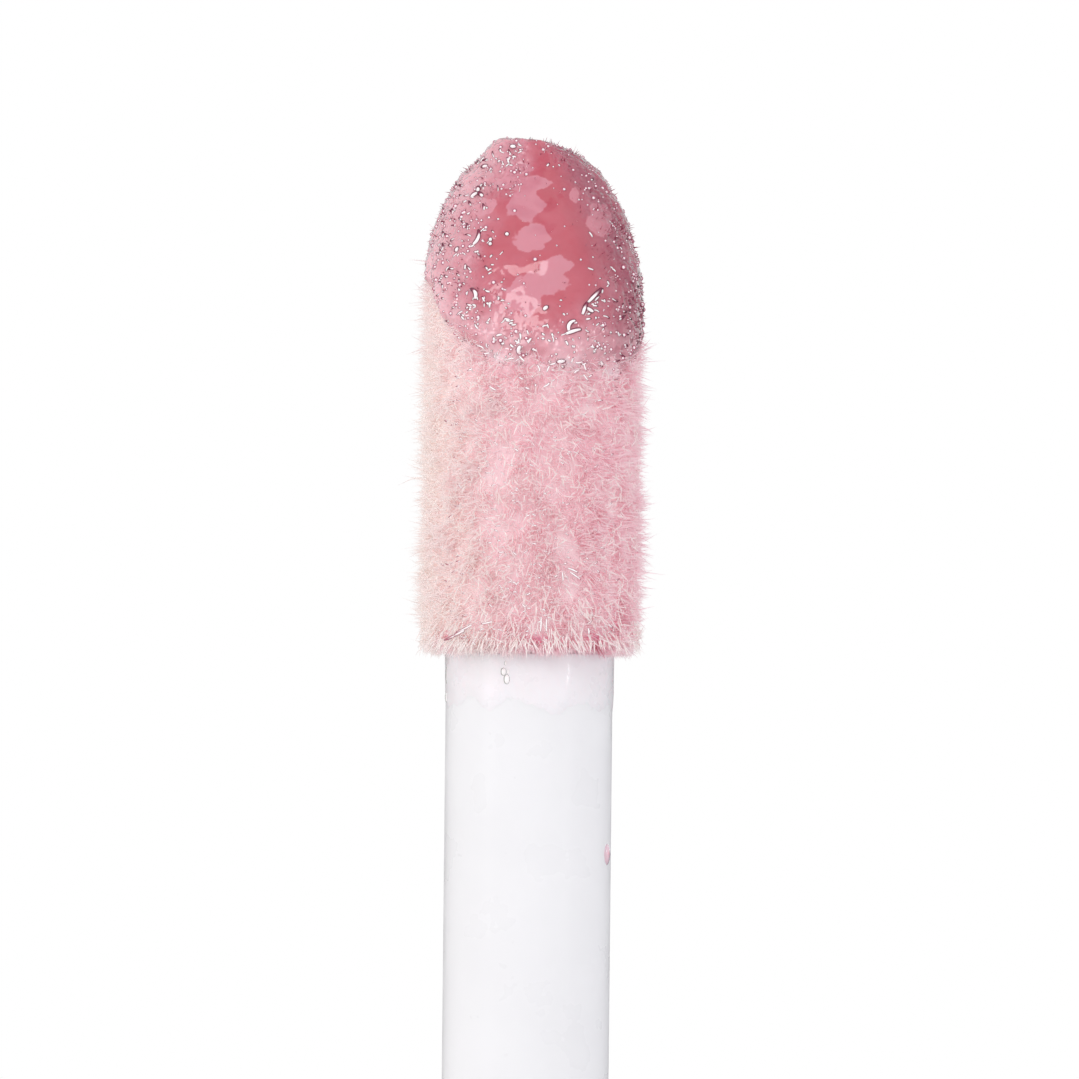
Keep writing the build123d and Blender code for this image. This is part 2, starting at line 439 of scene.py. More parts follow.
def film_gel():
    """The film: coral where it pools, paler and mauve over matted flock and near its upper edge;
    painted shade darkens its right side, painted reflections lie in pale patches on the pool,
    painted light makes its left side paler, and a painted dark outline rings it.
    """
    m = Nodes("gloss_film")
    cloud = m.noise(0.8, 4.0)
    pool = m.ramp(cloud, (0.3, srgb(194, 84, 99)), (0.7, srgb(199, 97, 113)))
    matted = m.ramp(cloud, (0.35, srgb(196, 98, 116)), (0.65, srgb(214, 142, 156)))
    colour = m.blend(m.stored("matted"), pool, matted)
    # painted shade: darkens the film towards the picture's right
    colour = m.blend(m.stored("shade"), colour, srgb(140, 46, 76))
    # painted reflection: pale patches lighten the pool
    colour = m.blend(m.stored("painted_reflection"), colour, srgb(214, 140, 155))
    # painted light: paler towards the picture's left; near its upper edge the film is paler in its
    # own colour
    colour = m.blend(m.stored("pale"), colour, srgb(240, 192, 201))
    # painted shade: a dark outline where the film turns away from the viewer
    with_painted_outline = m.blend(m.facing(0.55, 0.95), colour, srgb(84, 30, 54))
    under = m.blend(m.stored("buried"), colour, srgb(254, 230, 236))
    m.colour(m.blend(m.stored("edge"), with_painted_outline, under))
    m.rough(m.span(m.noise(0.5), 0.05, 0.1))
    m.wet(0.35, 0.35, 1.0, 0.02)
    return m.material


def fibre(name, root_stops, tip_stops, through):
    """Nylon flock. Each fibre's map holds its tint across and its length upwards."""
    m = Nodes(name)
    uv = m.add("ShaderNodeUVMap", uv_map=BAKE_UV)
    parts = m.add("ShaderNodeSeparateXYZ")
    m.link(uv.outputs[0], parts.inputs[0])
    root = m.ramp(parts.outputs[0], *root_stops)
    tip = m.ramp(parts.outputs[0], *tip_stops)
    colour = m.blend(m.span(parts.outputs[1], 0.0, 0.75, 0.4, 1.0), root, tip)
    m.colour(colour)
    m.set(Roughness=0.38, Specular_IOR_Level=0.15)
    glow = m.add("ShaderNodeBsdfTranslucent")
    m.link(colour, glow.inputs["Color"])
    m.mix_in(glow).default_value = through
    return m.material


def flock_base_material():
    """The felted roots of the flock: pink in patches, stained with gloss in spots, and paler and
    warmer towards the sides, most on the left, as painted light.
    """
    m = Nodes("flock_base")
    pink = m.ramp(m.noise(0.7, 5.0), (0.3, srgb(250, 213, 221)), (0.7, srgb(251, 225, 229)))
    felt = m.blend(m.stored("pale"), pink, srgb(253, 238, 233))
    m.colour(m.blend(m.stored("stain"), felt, srgb(238, 140, 174)))
    m.rough(m.span(m.noise(0.2), 0.7, 0.95))
    m.bump(m.noise(0.1, 4.0), 0.05)
    m.set(Specular_IOR_Level=0.1)
    return m.material


# --- Flock -----------------------------------------------------------

ROOT_DEPTH = 0.62 * MM
FIBRE_RADIUS = 0.017 * MM
FIBRES_PER_PIECE = 15000


def flock_base(rings, normals):
    """The felt the fibres stand in, a lumpy skin inside the flock's outline."""
    wet = wetness(rings)
    depth = (0.31 - 0.11 * wet) * MM + 0.05 * MM * waves(rings, 0.35 * MM, 3, 2)
    skin = rings - normals * depth[..., None]
    end = smooth(-0.9 * MM, 0.0, skin[..., 2] - SHOULDER_Z)
    skin[..., :2] *= (1 - 0.05 * end)[..., None]
    skin[..., 2] -= 0.16 * MM * end * (1 + 0.8 * waves(rings, 0.4 * MM, 2, 3))
    ob = new_object("flock_base", *closed_grid(skin), flock_base_material())
    angle = facing(rings)
    # painted light: paler towards the picture's left, and a little towards its right
    store(ob, "pale", 0.9 * smooth(0.3, 1.3, -angle) + 0.3 * smooth(0.6, 1.4, angle))
    store(ob, "stain", residue(rings))
    return finish_piece(ob, "wand", "flock_fibre", "flock")


def scatter(rings, normals, count, weight=None):
    """Random places on a skin of rings, even by area times weight, and the normals there."""
    a = rings[:-1]
    b = rings[1:]
    c = np.roll(rings, -1, 1)[:-1]
    area = np.linalg.norm(np.cross(b - a, c - a), axis=-1)
    if weight is not None:
        area = area * weight[:-1]
    share = np.cumsum(area.ravel()) / area.sum()
    cell = np.searchsorted(share, RNG.random(count))
    i, j = np.divmod(cell, rings.shape[1])
    k = (j + 1) % rings.shape[1]
    u = RNG.random(count)[:, None]
    v = RNG.random(count)[:, None]

    def between(grid):
        low = grid[i, j] * (1 - u) + grid[i, k] * u
        high = grid[i + 1, j] * (1 - u) + grid[i + 1, k] * u
        return low * (1 - v) + high * v

    return between(rings), unit(between(normals))


def fibre_mesh(name, root, middle, tip, radius, tint, material):
    """Tapered three-sided fibres, each bent once, closed at both ends."""
    count = len(root)
    across, other = across_of(unit(tip - root))
    corners = []
    for centre, size in ((root, 1.0), (middle, 0.85)):
        for turn in range(3):
            angle = 2 * math.pi * turn / 3
            ray = across * math.cos(angle) + other * math.sin(angle)
            corners.append(centre + ray * (radius * size)[:, None])
    corners.append(tip)
    vertices = np.stack(corners, 1).reshape(-1, 3)
    start = np.arange(count)[:, None] * 7
    quad = np.array([[0, 1, 4, 3], [1, 2, 5, 4], [2, 0, 3, 5]])
    tri = np.array([[3, 4, 6], [4, 5, 6], [5, 3, 6], [2, 1, 0]])
    quads = (start[:, None] + quad[None]).reshape(-1, 4)
    tris = (start[:, None] + tri[None]).reshape(-1, 3)
    ob = new_object(name, vertices, [quads, tris], material, False)
    level = np.tile([0, 0, 0, 0.5, 0.5, 0.5, 1.0], count)
    spread = np.tile([-0.01, 0, 0.01, -0.01, 0, 0.01, 0], count)
    u = np.clip(np.repeat(tint, 7) * 0.96 + 0.02 + spread, 0, 1)
    store_map(ob, u, level)
    return ob


def tuft_lean(points, size, amount, seed):
    """A sideways lean that neighbours share, so that fibres stand in tufts."""
    return np.stack([waves(points, size, 2, seed + n) for n in range(3)], -1) * amount


def bent(root, run, length, kink):
    """Roots, middles and tips of fibres, each middle pushed aside by about `kink` lengths."""
    tip = root + run * length[:, None]
    return root, (root + tip) / 2 + RNG.normal(0, kink, root.shape) * length[:, None], tip


def residue(points):
    """Gloss left at the flock's edge by the wiper: a few sticky spots, 0 to 1."""
    angle = facing(points)
    below = (SHOULDER_Z - points[..., 2]) / MM
    spots = (
        (0.75, 0.2, 0.16, 0.30), (0.15, 0.15, 0.30, 0.16),
        (-1.0, 0.35, 0.12, 0.16), (1.05, 0.9, 0.08, 0.25),
    )
    total = 0 * below
    for at, depth, wide, tall in spots:
        total = total + np.exp(-(((angle - at) / wide) ** 2) - ((below - depth) / tall) ** 2)
    return total.clip(0, 1)


def dry_fibres(rings, normals, count):
    """The dry flock: fibres in loose tufts, splayed over the stem at the shoulder."""
    wet = wetness(rings)
    where, normal = scatter(rings, normals, count, 1.02 - wet)
    shoulder = smooth(-1.1 * MM, 0.0, where[:, 2] - SHOULDER_Z)
    lean = tuft_lean(where, 0.55 * MM, 1.15, 10) + tuft_lean(where, 0.2 * MM, 0.6, 20)
    stray = RNG.normal(0, 0.30, (count, 3))
    swept = UP * (0.10 + 0.45 * shoulder)[:, None]
    run = unit(normal + lean + stray + swept)
    run = unit(run + normal * np.maximum(0, 0.35 - (run * normal).sum(-1))[:, None] * 2)
    tuft = 1 + 0.45 * waves(where, 0.6 * MM, 2, 25) + 0.25 * waves(where, 0.25 * MM, 1, 26)
    corner = smooth(-0.5 * MM, 0.0, where[:, 2] - SHOULDER_Z)
    length = RNG.normal(0.66, 0.10, count).clip(0.35, 0.95) * tuft
    length = length * (1 - 0.25 * shoulder - 0.32 * corner) * MM
    root = where - normal * (ROOT_DEPTH + RNG.normal(0, 0.05, count)[:, None] * MM)
    root[:, 2] = np.minimum(root[:, 2], SHOULDER_Z - 0.22 * MM)
    curl = RNG.normal(0, 0.07, (count, 3)) * length[:, None]
    middle = root + run * length[:, None] * 0.55 + curl
    tip = root + run * length[:, None]
    tip[:, 2] -= 0.7 * np.maximum(tip[:, 2] - SHOULDER_Z - RNG.normal(0.02, 0.06, count) * MM, 0)
    angle = facing(where)
    patch = waves(where, 1.1 * MM, 3, 30)
    near_wet = np.exp(-np.maximum(where[:, 2] - TIP_Z - wet_reach(angle), 0) / (0.8 * MM))
    # painted light: the sine term makes the fibres whiter towards the picture's left and pinker
    # towards its right; the rest is their own colour, pinker near the gloss and where it stains
    # them
    tint = 0.34 + 0.08 * patch + 0.20 * np.sin(angle) + 0.22 * near_wet * np.cos(angle / 2) ** 2
    tint = tint + RNG.normal(0, 0.06, count) + 0.30 * residue(where)
    radius = FIBRE_RADIUS * RNG.uniform(0.8, 1.2, count)
    return root, middle, tip, radius, tint.clip(0, 1)


def shoulder_fringe(count):
    """Short fibres on the flock's flat end, pointing along the stem and a little outwards."""
    angle = RNG.uniform(0, 2 * math.pi, count)
    away = np.sqrt(RNG.uniform(2.3**2, 2.6**2, count)) * MM
    out = round_axis(angle)
    root = out * away[:, None] + UP * (SHOULDER_Z - 0.28 * MM)
    lean = tuft_lean(root, 0.3 * MM, 0.8, 35)
    run = unit(out * 0.55 + UP * 0.8 + lean + RNG.normal(0, 0.28, (count, 3)))
    run[:, 2] = np.maximum(run[:, 2], 0.25)
    length = RNG.normal(0.38, 0.08, count).clip(0.2, 0.55) * MM
    line = bent(root, run, length, 0.05)
    # painted light: the sine term makes the fringe whiter towards the picture's left and pinker
    # towards its right
    tint = 0.28 + 0.14 * np.sin(facing(root)) + RNG.normal(0, 0.10, count) + 0.4 * residue(root)
    return *line, FIBRE_RADIUS * RNG.uniform(0.8, 1.2, count), tint.clip(0, 1)


def wet_fibres(rings, normals, count):
    """Fibres matted by gloss, lying in pointed clumps that just break the film's surface."""
    above = rings[..., 2] - TIP_Z - wet_reach(facing(rings))
    inner = 1 - smooth(-1.5 * MM, -0.6 * MM, above)
    where, normal = scatter(rings, normals, count, inner * (0.10 + rough_zone(rings)))
    lean = tuft_lean(where, 0.35 * MM, 1.3, 40)
    run = unit(normal + lean + RNG.normal(0, 0.16, (count, 3)) + UP * 0.25)
    length = RNG.normal(0.30, 0.06, count).clip(0.15, 0.45) * MM
    line = bent(where - normal * 0.26 * MM, run, length, 0.06)
    tint = (0.80 + 0.12 * waves(where, 0.8 * MM, 2, 50) + RNG.normal(0, 0.05, count)).clip(0.5, 1)
    return *line, FIBRE_RADIUS * RNG.uniform(0.9, 1.5, count), tint


def matted_fibres(rings, normals, count):
    """Fibres stuck together along the film's edge, half in the gel."""
    edge = wetness(rings, 1.2 * MM)
    where, normal = scatter(rings, normals, count, np.clip(4 * edge * (1 - edge), 0, 1))
    lean = tuft_lean(where, 0.30 * MM, 1.5, 45)
    run = unit(normal * 0.8 + lean + RNG.normal(0, 0.15, (count, 3)) + UP * 0.35)
    run = unit(run + normal * np.maximum(0, 0.2 - (run * normal).sum(-1))[:, None] * 2)
    length = RNG.normal(0.38, 0.08, count).clip(0.2, 0.6) * MM
    line = bent(where - normal * 0.28 * MM, run, length, 0.08)
    wet = wetness(where, 1.2 * MM)
    # painted light: the sine term makes these fibres whiter towards the picture's left and pinker
    # towards its right
    tint = 0.20 + 0.20 * wet + 0.16 * np.sin(facing(where)) + 0.10 * waves(where, 0.6 * MM, 2, 55)
    tint = (tint + RNG.normal(0, 0.06, count)).clip(0.1, 1)
    return *line, FIBRE_RADIUS * RNG.uniform(0.9, 1.5, count), tint


def bright_fibres(rings, normals, count):
    """Single white fibres lying on top of the flock, their whiteness partly a painted glint; at the
    shoulder they fan out.
    """
    crowd = 1 + 1.0 * smooth(-2.5 * MM, 0.0, rings[..., 2] - SHOULDER_Z)
    where, normal = scatter(rings, normals, count, (1.02 - wetness(rings)) * crowd)
    low = smooth(-3.0 * MM, -0.2 * MM, where[:, 2] - SHOULDER_Z)
    angle = facing(where)
    front = np.abs(np.cos(angle))
    fan = np.stack([-np.sin(angle) * front, 0 * angle, 0.25 + front], -1)
    flat = unit(RNG.normal(0, 1, (count, 3)) + fan * (1.9 * low)[:, None])
    flat = unit(flat - normal * (flat * normal).sum(-1, keepdims=True))
    run = unit(flat + normal * RNG.uniform(0.15, 0.6, count)[:, None])
    length = RNG.uniform(0.14, 0.36, count) * (1 + 0.6 * low) * MM
    root = where - normal * (0.16 * MM)
    root[:, 2] = np.minimum(root[:, 2], SHOULDER_Z - 0.35 * MM)
    line = bent(root, run, length, 0.04)
    return *line, FIBRE_RADIUS * RNG.uniform(0.9, 1.4, count), RNG.uniform(0.0, 0.2, count)


def rough_zone(points):
    """0 where the gloss pools smoothly on the slanted face, 1 on the rough flock round it."""
    angle = facing(points) - 0.15
    rise = points[..., 2] - TIP_Z
    off = np.hypot(angle / 0.75, (rise - 2.7 * MM) / (2.6 * MM))
    return smooth(0.6, 1.25, off + 0.25 * waves(points, 0.7 * MM, 2, 60))


def build_flock(rings, normals):
    flock_base(rings, normals)
    stops = (
        (0.0, srgb(254, 253, 251)), (0.30, srgb(253, 247, 248)), (0.60, srgb(253, 236, 241)),
        (0.80, srgb(246, 206, 218)), (1.0, srgb(206, 96, 122)),
    )

    tip_stops = ((0.0, srgb(254, 252, 250)), (0.6, srgb(254, 247, 249)), (1.0, srgb(232, 160, 182)))
    wet_stops = ((0.5, srgb(196, 96, 120)), (1.0, srgb(140, 50, 78)))
    wet_tip_stops = ((0.5, srgb(206, 110, 136)), (1.0, srgb(150, 56, 86)))
    nylon = fibre("flock_nylon", stops, tip_stops, 0.5)
    wet_nylon = fibre("flock_wet_nylon", wet_stops, wet_tip_stops, 0.15)
    scale = 1.0
    groups = {
        "flock_fibres": dry_fibres(rings, normals, int(60000 * scale)),
        "fringe_fibres": shoulder_fringe(int(4000 * scale)),
        "wet_fibres": wet_fibres(rings, normals, int(5000 * scale)),
        "matted_fibres": matted_fibres(rings, normals, int(900 * scale)),
        "bright_fibres": bright_fibres(rings, normals, int(5000 * scale)),
    }
    for name, parts in groups.items():
        for n, start in enumerate(range(0, len(parts[0]), FIBRES_PER_PIECE)):
            chosen = [p[start:start + FIBRES_PER_PIECE] for p in parts]
            material = wet_nylon if name == "wet_fibres" else nylon
            finish_piece(fibre_mesh(f"{name}_{n + 1}", *chosen, material), "wand", "flock_fibre")


# --- Gloss on the applicator -----------------------------------------


def film_offset(points):
    """How far the film's surface stands off the flock's outline."""
    wet = wetness(points, 0.6 * MM)
    rough = rough_zone(points)
    swell = 0.075 * MM * waves(points, 1.3 * MM, 2, 70)
    ripple = 0.028 * MM * waves(points, 0.42 * MM, 2, 71) * (0.35 + 0.65 * rough)
    grain = 0.030 * MM * waves(points, 0.14 * MM, 2, 72) * rough
    across = (-points[..., 0] / MM + 0.95) / 0.45
    rise = ((points[..., 2] - TIP_Z) / MM - 0.2) / 0.5
    lump = 0.17 * MM * np.exp(-(across**2) - rise**2)
    return swell + ripple + grain + lump - (1 - wet) * 0.50 * MM


def painted_reflection_patches(points):
    """1 in the crisp-edged pale patches of the pool that hold a painted reflection."""
    across = -points[..., 0] / MM
    rise = (points[..., 2] - TIP_Z) / MM
    wobble = 0.34 * waves(points, 0.35 * MM, 3, 76)
    places = (      # across and up from the tip, half-width and half-height, all in millimetres
        (-0.15, 0.26, 0.34, 0.14), (-0.50, 0.85, 0.44, 0.16), (-0.25, 1.25, 0.78, 0.22),
        (-0.24, 1.85, 0.46, 0.46), (-0.02, 2.75, 0.50, 0.38), (0.62, 3.50, 0.44, 0.24),
        (0.30, 3.95, 0.80, 0.30), (-0.25, 4.40, 0.50, 0.45), (1.77, 2.23, 0.34, 0.44),
        (-1.35, 1.92, 0.38, 0.24), (1.07, 1.56, 0.13, 0.20),
    )
    nearest = np.full(across.shape, 9.0)
    for x, z, wide, tall in places:
        nearest = np.minimum(nearest, np.hypot((across - x) / wide, (rise - z) / tall))
    return (1 - smooth(0.94, 1.06, nearest + wobble)) * (points[..., 1] < 0.5 * MM)


def gloss_film():
    """The film over the slanted end, a closed skin that dives under the dry flock."""
    length = 8.6 * MM
    count, around = ((320, 560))
    rings = applicator_rings(rises_for(count, length, 1.4), around)
    normals = ring_normals(rings)
    skin = rings + normals * film_offset(rings)[..., None]
    ob = new_object("gloss_coat_film", *closed_grid(skin), film_gel())
    angle = facing(rings)
    # painted shade: darkens the film towards the picture's right
    right = smooth(0.3, 1.2, angle) * (1 - smooth(2.4, 3.1, angle))
    shade = right * (0.85 + 0.3 * waves(rings, 0.8 * MM, 2, 75))
    above = rings[..., 2] - TIP_Z - wet_reach(angle) - 0.4 * MM * waves(rings, 0.7 * MM, 3, 77)
    # painted light makes the film paler towards the picture's left; near its upper edge it is paler
    # in its own colour
    pale = 0.75 * smooth(0.5, 1.4, -angle) + 0.85 * smooth(-1.5 * MM, 0.2 * MM, above)
    store(ob, "matted", rough_zone(rings), 1, 1)
    store(ob, "shade", (0.9 * shade).clip(0, 1))
    # painted reflection: pale patches on the pool, weaker towards the picture's right
    store(ob, "painted_reflection", (0.9 - 0.5 * smooth(0.4, 1.2, angle)) * painted_reflection_patches(rings))
    store(ob, "pale", pale.clip(0, 0.85))
    store(ob, "edge", smooth(-0.8 * MM, -0.2 * MM, above), 0, 1)
    store(ob, "buried", smooth(-0.25 * MM, 0.35 * MM, above), 0, 1)
    i, j = np.indices((count, around))
    store_map(ob, np.r_[j.ravel() / around, 0.5, 0.5], np.r_[i.ravel() / count, 0, 1])
    finish_piece(ob, "wand", "gloss_film", "gloss_coat")
    return ob, rings, normals


def soften(line):
    """A line of points with its small kinks taken out; the ends stay."""
    for _ in range(4):
        line[1:-1] = (line[:-2] + 2 * line[1:-1] + line[2:]) / 4
    return line


def stroke(tree, across, rise, heading, length, bend, radius):
    """A worm of gel on the film, from a place in millimetres across and above the tip.

    Headings are in degrees: 0 is towards the picture's right, 90 away from the tip."""
    steps = max(5, int(length / 0.035))
    path = []
    up = []
    for step in range(steps):
        start = Vector((-across * MM, -FAR, TIP_Z + rise * MM))
        hit, normal = tree.ray_cast(start, Vector((0, 1, 0)))[:2]
        if hit is None:
            return None
        path.append(np.array(hit))
        up.append(np.array(normal))
        turned = math.radians(heading + bend * step / steps)
        across += math.cos(turned) * length / steps
        rise += math.sin(turned) * length / steps
    path = soften(np.array(path))
    up = unit(soften(np.array(up)))
    along = unit(np.gradient(path, axis=0))
    side = unit(np.cross(up, along))
    taper = np.sin(np.linspace(0.25, math.pi - 0.25, steps)) ** 0.5
    turn = turns(10)[None, :, None]
    size = (radius * MM * taper)[:, None, None]
    section = side[:, None] * np.cos(turn) + up[:, None] * (np.sin(turn) * 0.8 + 0.2)
    return closed_grid(path[:, None] + size * section, path[0], path[-1])


def join_strokes(strokes):
    """One set of vertices and faces out of the strokes that met a surface all along."""
    parts = [part for part in strokes if part]
    vertices = np.vstack([v for v, _ in parts])
    starts = np.cumsum([0] + [len(v) for v, _ in parts[:-1]])
    quads = np.vstack([f[0] + start for (_, f), start in zip(parts, starts)])
    fans = np.vstack([f[1] + start for (_, f), start in zip(parts, starts)])
    return vertices, [quads, fans]


def film_ridges(film):
    """Curled ridges of gel that stand on the film, lit by a painted highlight along the middle with
    painted shade at the outline:
    the large ones, then many small ones scattered over the rough flock."""
    tree = surface_tree(film.data)
    large = [       # across and up from the tip, heading, length, bend
        (-1.52, 1.50, -90, 0.20, 0), (-1.52, 1.50, 150, 0.28, -20), (-1.52, 1.50, 37, 0.22, 20),
        (-1.49, 2.55, 75, 0.50, 85), (-1.68, 4.15, 15, 0.40, 130), (1.83, 4.10, 133, 0.56, 0),
        (1.45, 4.48, 115, 0.40, -10), (1.42, 4.62, 37, 0.28, -20), (1.15, 4.98, 178, 0.48, -140),
        (1.30, 5.21, 170, 0.48, -20), (0.65, 6.10, -8, 0.28, 0), (0.28, 4.72, -70, 0.22, 90),
        (-0.78, 2.63, 20, 0.15, 25), (-1.22, 2.80, 5, 0.14, 10), (-1.22, 2.92, 5, 0.13, 0),
        (-0.38, 5.90, -100, 0.28, 60), (-2.10, 3.15, -75, 0.20, 40), (-0.68, 0.22, 20, 0.22, -40),
        (-1.45, 0.80, -10, 0.22, 10),
    ]
    strokes = [stroke(tree, *shape, 0.070) for shape in large]
    small_count = 300
    while len(strokes) < len(large) + small_count:
        across, rise = RNG.uniform(-2.6, 2.6), RNG.uniform(0.1, 6.2)
        place = np.array([-across, -1.0, 0]) * MM + UP * (TIP_Z + rise * MM)
        if RNG.random() > rough_zone(place) * (1.0 if across < 0 or rise > 4 else 0.4):
            continue
        turn = (RNG.uniform(0, 360), RNG.uniform(0.07, 0.24), RNG.uniform(-120, 120))
        strokes.append(stroke(tree, across, rise, *turn, RNG.uniform(0.022, 0.042)))
    deep = ridge_gel("gloss_ridge", srgb(140, 60, 86), srgb(74, 24, 44))
    finish_piece(new_object("gloss_ridges", *join_strokes(strokes), deep), "wand", "gloss_film")


def flock_clumps():
    """Specks and threads of gel on the dry flock: the large ones, those just past the film's
    edge, and small ones that grow more frequent towards the shoulder."""
    clumps = [      # across and up from the tip, heading, length, bend, radius
        (-1.55, 13.15, 150, 0.50, 8, 0.035), (-1.75, 13.30, 152, 0.42, 0, 0.045),
        (-1.95, 13.42, 155, 0.40, 0, 0.040), (-1.00, 13.05, 160, 0.35, 20, 0.030),
        (1.00, 11.60, 20, 0.34, 10, 0.035), (1.05, 11.70, 35, 0.40, 0, 0.030),
        (0.85, 11.70, 80, 0.30, 10, 0.028), (0.30, 12.90, 88, 0.45, 10, 0.028),
        (0.45, 12.95, 95, 0.40, -12, 0.028), (1.55, 13.20, 60, 0.22, 60, 0.035),
        (2.10, 13.10, 30, 0.20, 40, 0.032), (-0.35, 8.50, 200, 0.16, 60, 0.028),
    ]

    def film_edge(across):
        return wet_reach(math.asin(across / FLOCK_RADIUS_MM)) / MM

    near_edge, total = 34, 260
    while len(clumps) < near_edge:
        across = RNG.uniform(-2.0, 2.2)
        rise = film_edge(across) + RNG.uniform(-0.2, 0.9)
        shape = (RNG.uniform(0, 360), RNG.uniform(0.10, 0.28), RNG.uniform(-90, 90))
        clumps.append((across, rise, *shape, 0.030))
    while len(clumps) < total:
        across = RNG.uniform(-2.3, 2.3)
        rise = RNG.uniform(5.5, 13.6)
        if rise > film_edge(across) and RNG.random() < 0.4 + (rise - 5.5) / 14:
            heading = RNG.uniform(-50, 50) + RNG.choice([0, 180])
            shape = (heading, RNG.uniform(0.06, 0.2), RNG.uniform(-30, 30))
            clumps.append((across, rise, *shape, RNG.uniform(0.014, 0.024)))
    tree = surface_tree(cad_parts["flock"].data)
    strokes = [stroke(tree, *clump) for clump in clumps]
    # painted glints: white middles and rosy rims stand in for highlights and shade on the gel
    rosy = ridge_gel("gloss_on_flock", srgb(186, 122, 136), srgb(140, 76, 92))
    finish_piece(new_object("flock_clumps", *join_strokes(strokes), rosy), "wand", "gloss_film")


def glint(name, *stops):
    """Smooth wet gel coloured from its middle, at 0, to its outline, at 1, so that its colour holds
    painted highlights and painted shade.
    """
    m = Nodes(name)
    m.colour(m.ramp(m.facing(0.0, 1.0), *stops))
    m.rough(m.span(m.noise(0.3), 0.04, 0.09))
    m.set(Specular_IOR_Level=0.2)
    return m.material


def ridge_gel(name, edge, rim):
    """Gel with a painted highlight, white where it faces the viewer, and painted shade, deeper at
    its outline.
    """
    middle = ((0.0, srgb(255, 253, 254)), (0.22, srgb(255, 248, 250)))
    return glint(name, *middle, (0.33, edge), (0.75, rim))


def ball_mesh():
    """Unit ball as arrays."""
    bm = bmesh.new()
    bmesh.ops.create_icosphere(bm, subdivisions=2, radius=1.0)
    vertices = np.array([v.co[:] for v in bm.verts])
    faces = np.array([[v.index for v in f.verts] for f in bm.faces])
    bm.free()
    return vertices, faces


def bead_piece(name, where, normal, size, flat, material):
    """Flattened beads set into a surface, as one mesh."""
    ball, faces = ball_mesh()
    across, other = across_of(normal)
    local = (
        ball[None, :, 0:1] * across[:, None]
        + ball[None, :, 1:2] * other[:, None]
        + ball[None, :, 2:3] * (normal * flat)[:, None]
    )
    vertices = where[:, None] + local * size[:, None, None]
    start = np.arange(len(where))[:, None, None] * len(ball)
    triangles = (faces[None] + start).reshape(-1, 3)
    return new_object(name, vertices.reshape(-1, 3), [triangles], material)


def bubble():
    """An air bubble in the gel, coloured with a painted highlight in its bright middle and painted
    shade in its deep ring.
    """
    return glint(
        "gloss_bubble", (0.0, srgb(255, 252, 254)), (0.12, srgb(255, 238, 244)),
        (0.24, srgb(204, 124, 146)), (0.5, srgb(158, 82, 106)), (0.8, srgb(192, 112, 134)),
    )


def gloss_beads(rings, normals):
    """Small air bubbles under the film's skin, many on the rough flock, few on the pool."""
    count = 800
    wet = wetness(rings)
    where, normal = scatter(rings, normals, count, wet * (0.10 + rough_zone(rings)))
    where = where + normal * film_offset(where)[:, None]
    size = RNG.lognormal(math.log(0.036), 0.33, count).clip(0.020, 0.070) * MM
    ob = bead_piece("gloss_bubbles", where, normal, size, 0.9, bubble())
    finish_piece(ob, "wand", "gloss_film")


# --- Gloss left on the stem ------------------------------------------


def stem_film():
    """A clear film that runs from the flock's edge on to the stem, with a wavy end."""
    count, around = 60, 240
    length = 2.05 * MM
    t = np.linspace(0, 1, count)[:, None]
    angle = turns(around)[None]
    out = np.stack([np.sin(angle), -np.cos(angle), 0 * angle], -1)
    reach = length * (1 + 0.32 * waves(out * STEM_RADIUS, 1.1 * MM, 2, 80))
    points = out * STEM_RADIUS + UP * (SHOULDER_Z + t * reach)[..., None]
    thinning = 1 - smooth(0.45, 1.0, t)
    lumps = waves(points, 1.0 * MM, 2, 81)
    full = 0.065 * MM * thinning * (1 + 0.25 * lumps)
    trace = (0.012 * lumps - 0.008) * MM * (1 - thinning)
    skin = points + out * (full + trace)[..., None]
    ends = (UP * SHOULDER_Z, UP * (SHOULDER_Z + 0.9 * length))
    clear = gloss("gloss_clear", srgb(242, 238, 242), srgb(246, 242, 247), 0.1, 0.3, 0.25)
    finish_piece(new_object("stem_film", *closed_grid(skin, *ends), clear), "wand", "gloss_film")


def stem_drops():
    """A pink drop on the stem's side, and clear beads in the film coloured as painted glints: white
    in the middle with grey painted shade at the outline.
    """
    def bead(name, angle, height, lift, size, flat, stretch, material):
        out = np.array([-math.sin(angle), -math.cos(angle), 0])
        place = out * STEM_RADIUS + UP * (SHOULDER_Z + height * MM) + out * lift * MM
        ob = bead_piece(name, place[None], out[None], np.array([size * MM]), flat, material)
        taller = Matrix.Diagonal((1, 1, stretch, 1))
        ob.data.transform(Matrix.Translation(place) @ taller @ Matrix.Translation(-Vector(place)))
        finish_piece(ob, "wand", "gloss_film")

    pink = gloss("gloss_drop", srgb(238, 194, 208), srgb(244, 210, 220), 0.4, 0.05)
    bead("stem_drop", 1.25, 5.4, 0, 0.20, 0.6, 1.6, pink)
    glints = (      # angle round the stem, height, size, stretch
        (-0.285, 0.27, 0.045, 1.6), (-0.310, 0.50, 0.085, 1.4), (-0.270, 0.70, 0.090, 1.6),
        (-0.255, 0.50, 0.04, 2.0), (-1.36, 0.62, 0.060, 4.5), (-1.40, 1.22, 0.055, 2.6),
    )
    pale = ridge_gel("gloss_clear_bead", srgb(176, 182, 176), srgb(134, 142, 136))
    for n, (angle, height, size, stretch) in enumerate(glints):
        bead(f"stem_glint_{n + 1}", angle, height, 0.05, size, 0.7, stretch, pale)


# --- Gloss in the bottle ---------------------------------------------


